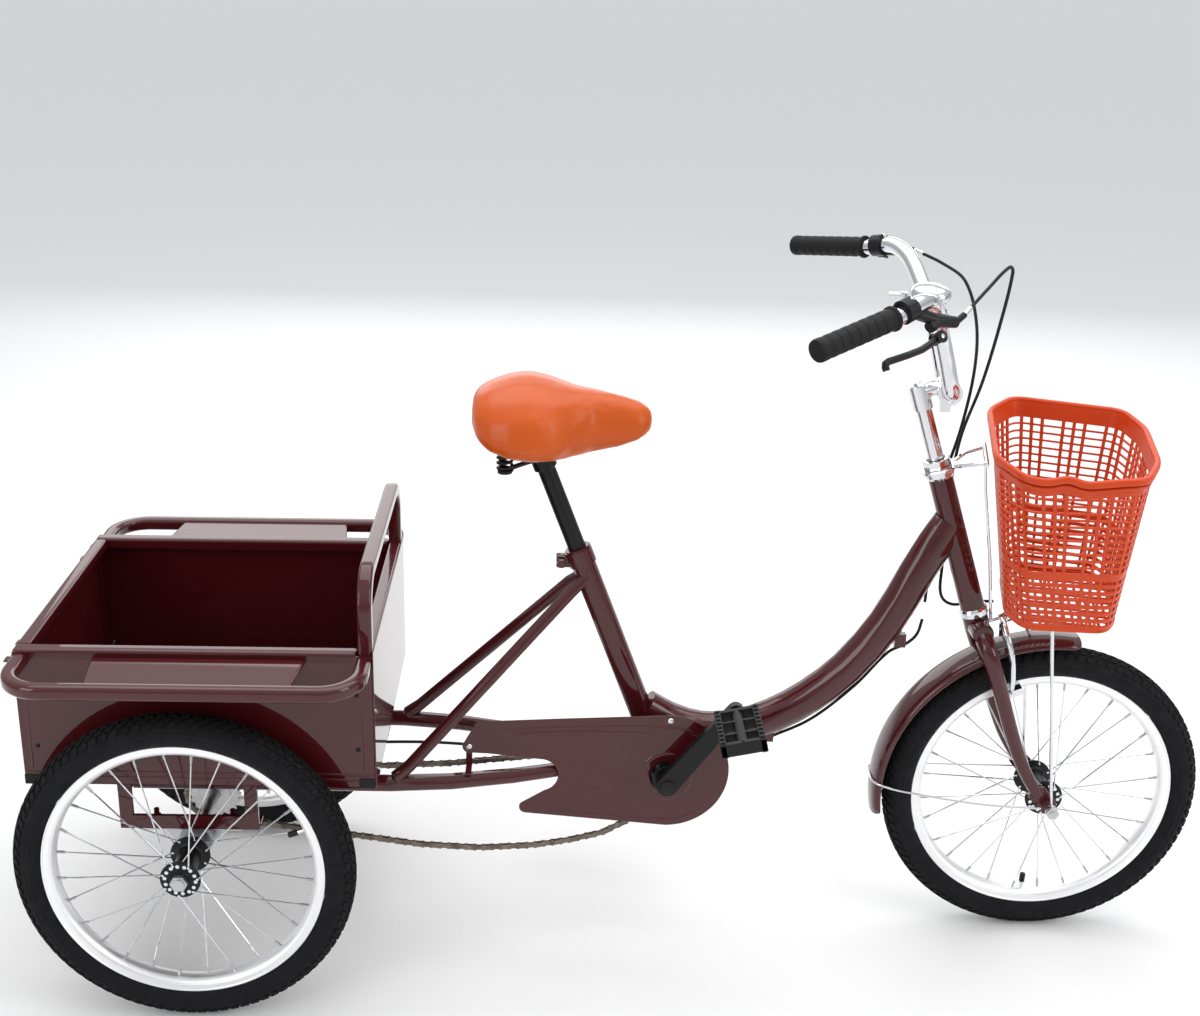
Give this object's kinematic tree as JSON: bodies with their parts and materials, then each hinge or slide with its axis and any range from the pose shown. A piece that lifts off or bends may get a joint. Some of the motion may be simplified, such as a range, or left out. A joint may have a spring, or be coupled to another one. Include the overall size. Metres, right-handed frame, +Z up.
{
  "type": "adult cargo tricycle",
  "caption": "Step-through adult tricycle with a rear cargo box with a drop tailgate, side guards, chain guard, padded saddle and a front lattice basket.",
  "frame": {"origin": "on the ground under the middle of the tricycle's overall length and width, which is midway between the axles", "axes": "+X forward, along the length; +Y to the rider's left; +Z up"},
  "size_m": [1.6586, 0.588, 1.0199],
  "materials": {
    "maroon_paint": "very glossy dark maroon paint",
    "rubber": "matt black grip rubber",
    "tyre": "matt black tyre rubber",
    "rim_alloy": "satin bright alloy",
    "chrome": "polished chrome plating",
    "steel": "bright zinc-plated steel",
    "black_metal": "satin black paint",
    "black_plastic": "matt black plastic",
    "orange_vinyl": "smooth padded orange vinyl",
    "orange_plastic": "moulded orange plastic with a soft gloss",
    "chain_steel": "oiled dark steel"
  },
  "bodies": {
    "root": {"main_frame": "maroon_paint", "headset_upper_cup": "chrome", "headset_lower_cup": "chrome", "chain_guard": "maroon_paint", "chain": "chain_steel", "axle_carrier": "maroon_paint", "axle_bearing_right": "steel", "axle_bearing_left": "steel", "band_brake": "black_metal", "box_floor": "maroon_paint", "box_side_right": "maroon_paint", "box_side_left": "maroon_paint", "box_front_hoop": "maroon_paint", "side_guard_right": "maroon_paint", "side_guard_left": "maroon_paint", "rear_brake_cable_lower": "black_plastic"},
    "steering": {"fork": "maroon_paint", "headset_locknut": "chrome", "front_fender": "maroon_paint", "front_axle": "steel", "basket": "orange_plastic", "basket_bracket": "chrome", "basket_stay_right": "chrome", "basket_stay_left": "chrome", "front_brake_cable": "black_plastic", "rear_brake_cable_upper": "black_plastic"},
    "stem": {"stem": "chrome", "handlebar": "chrome", "grip_right": "rubber", "grip_left": "rubber", "lever_body_right": "black_metal", "lever_body_left": "black_metal", "bell": "chrome"},
    "lever_right": {"lever_right": "black_metal"},
    "lever_left": {"lever_left": "black_metal"},
    "bell_lever": {"bell_lever": "chrome"},
    "brake_arm_right": {"brake_arm_right": "chrome"},
    "brake_arm_left": {"brake_arm_left": "chrome"},
    "front_wheel": {"front_tyre": "tyre", "front_rim": "rim_alloy", "front_hub_spokes": "chrome"},
    "right_wheel": {"right_tyre": "tyre", "right_rim": "rim_alloy", "right_hub_spokes": "chrome", "rear_axle": "steel", "rear_sprocket": "steel"},
    "left_wheel": {"left_tyre": "tyre", "left_rim": "rim_alloy", "left_hub_spokes": "chrome"},
    "crank": {"crank_right": "black_metal", "crank_left": "black_metal", "chainring": "black_metal"},
    "pedal_right": {"pedal_right": "black_plastic"},
    "pedal_left": {"pedal_left": "black_plastic"},
    "seat": {"seat_post": "black_metal", "saddle": "orange_vinyl", "saddle_frame": "black_metal"},
    "tailgate": {"tailgate": "maroon_paint"},
    "latch_right": {"latch_right": "black_metal"},
    "latch_left": {"latch_left": "black_metal"}
  },
  "joints": [
    {"name": "steering_turn", "type": "hinge", "parent": "root", "child": "steering", "pos_m": [0.47565, 0, 0.5191], "axis": [-0.3107, 0, 0.9505], "range_deg": [-35, 35], "deforming": ["rear_brake_cable_upper"]},
    {"name": "stem_height", "type": "slide", "parent": "steering", "child": "stem", "axis": [-0.3107, 0, 0.9505], "range_m": [-0.02, 0.03], "deforming": ["front_brake_cable"]},
    {"name": "brake_lever_right", "type": "hinge", "parent": "stem", "child": "lever_right", "pos_m": [0.34966, -0.16504, 0.94884], "axis": [-0.471, 0.7301, -0.4951], "range_deg": [0, 16], "stiffness_Nm_per_rad": 1.5, "springref_deg": -8.59},
    {"name": "brake_lever_left", "type": "hinge", "parent": "stem", "child": "lever_left", "pos_m": [0.35439, 0.20511, 0.98058], "axis": [0.1429, 0.3021, 0.9425], "range_deg": [0, 8], "stiffness_Nm_per_rad": 1.5, "springref_deg": -8.59},
    {"name": "bell_thumb", "type": "hinge", "parent": "stem", "child": "bell_lever", "pos_m": [0.32353, -0.08038, 0.98348], "axis": [0.0975, -0.0408, 0.9944], "range_deg": [0, 15], "stiffness_Nm_per_rad": 0.02, "springref_deg": -17.19},
    {"name": "caliper_right", "type": "hinge", "parent": "steering", "child": "brake_arm_right", "pos_m": [0.51919, 0, 0.50177], "axis": [0.9505, 0, 0.3107], "range_deg": [0, 1.6]},
    {"name": "caliper_left", "type": "hinge", "parent": "steering", "child": "brake_arm_left", "pos_m": [0.51919, 0, 0.50177], "axis": [-0.9505, 0, -0.3107], "range_deg": [0, 1.6]},
    {"name": "front_wheel_spin", "type": "hinge", "parent": "steering", "child": "front_wheel", "pos_m": [0.60075, 0, 0.2286], "axis": [0, 1, 0], "continuous": true},
    {"name": "right_wheel_spin", "type": "hinge", "parent": "root", "child": "right_wheel", "pos_m": [-0.60075, 0, 0.2286], "axis": [0, 1, 0], "continuous": true},
    {"name": "left_wheel_spin", "type": "hinge", "parent": "root", "child": "left_wheel", "pos_m": [-0.60075, 0, 0.2286], "axis": [0, 1, 0], "continuous": true},
    {"name": "crank_spin", "type": "hinge", "parent": "root", "child": "crank", "pos_m": [0.04875, 0, 0.2745], "axis": [0, 1, 0], "continuous": true},
    {"name": "pedal_right_spin", "type": "hinge", "parent": "crank", "child": "pedal_right", "pos_m": [0.13986, -0.1425, 0.39366], "axis": [0, 1, 0], "continuous": true},
    {"name": "pedal_left_spin", "type": "hinge", "parent": "crank", "child": "pedal_left", "pos_m": [-0.04236, 0.1425, 0.15534], "axis": [0, 1, 0], "continuous": true},
    {"name": "seat_height", "type": "slide", "parent": "root", "child": "seat", "axis": [-0.3551, 0, 0.9348], "range_m": [-0.1, 0.05]},
    {"name": "tailgate_drop", "type": "hinge", "parent": "root", "child": "tailgate", "pos_m": [-0.81575, 0, 0.34], "axis": [0, -1, 0], "range_deg": [0, 170]},
    {"name": "latch_right_slide", "type": "slide", "parent": "tailgate", "child": "latch_right", "axis": [0, 1, 0], "range_m": [0, 0.0175]},
    {"name": "latch_left_slide", "type": "slide", "parent": "tailgate", "child": "latch_left", "axis": [0, -1, 0], "range_m": [0, 0.0175]}
  ],
  "couplings": [
    {"joint": "caliper_right", "follows": "brake_lever_right", "ratio": 0.1},
    {"joint": "caliper_left", "follows": "brake_lever_right", "ratio": 0.1},
    {"joint": "crank_spin", "follows": "right_wheel_spin", "ratio": 0.5}
  ]
}
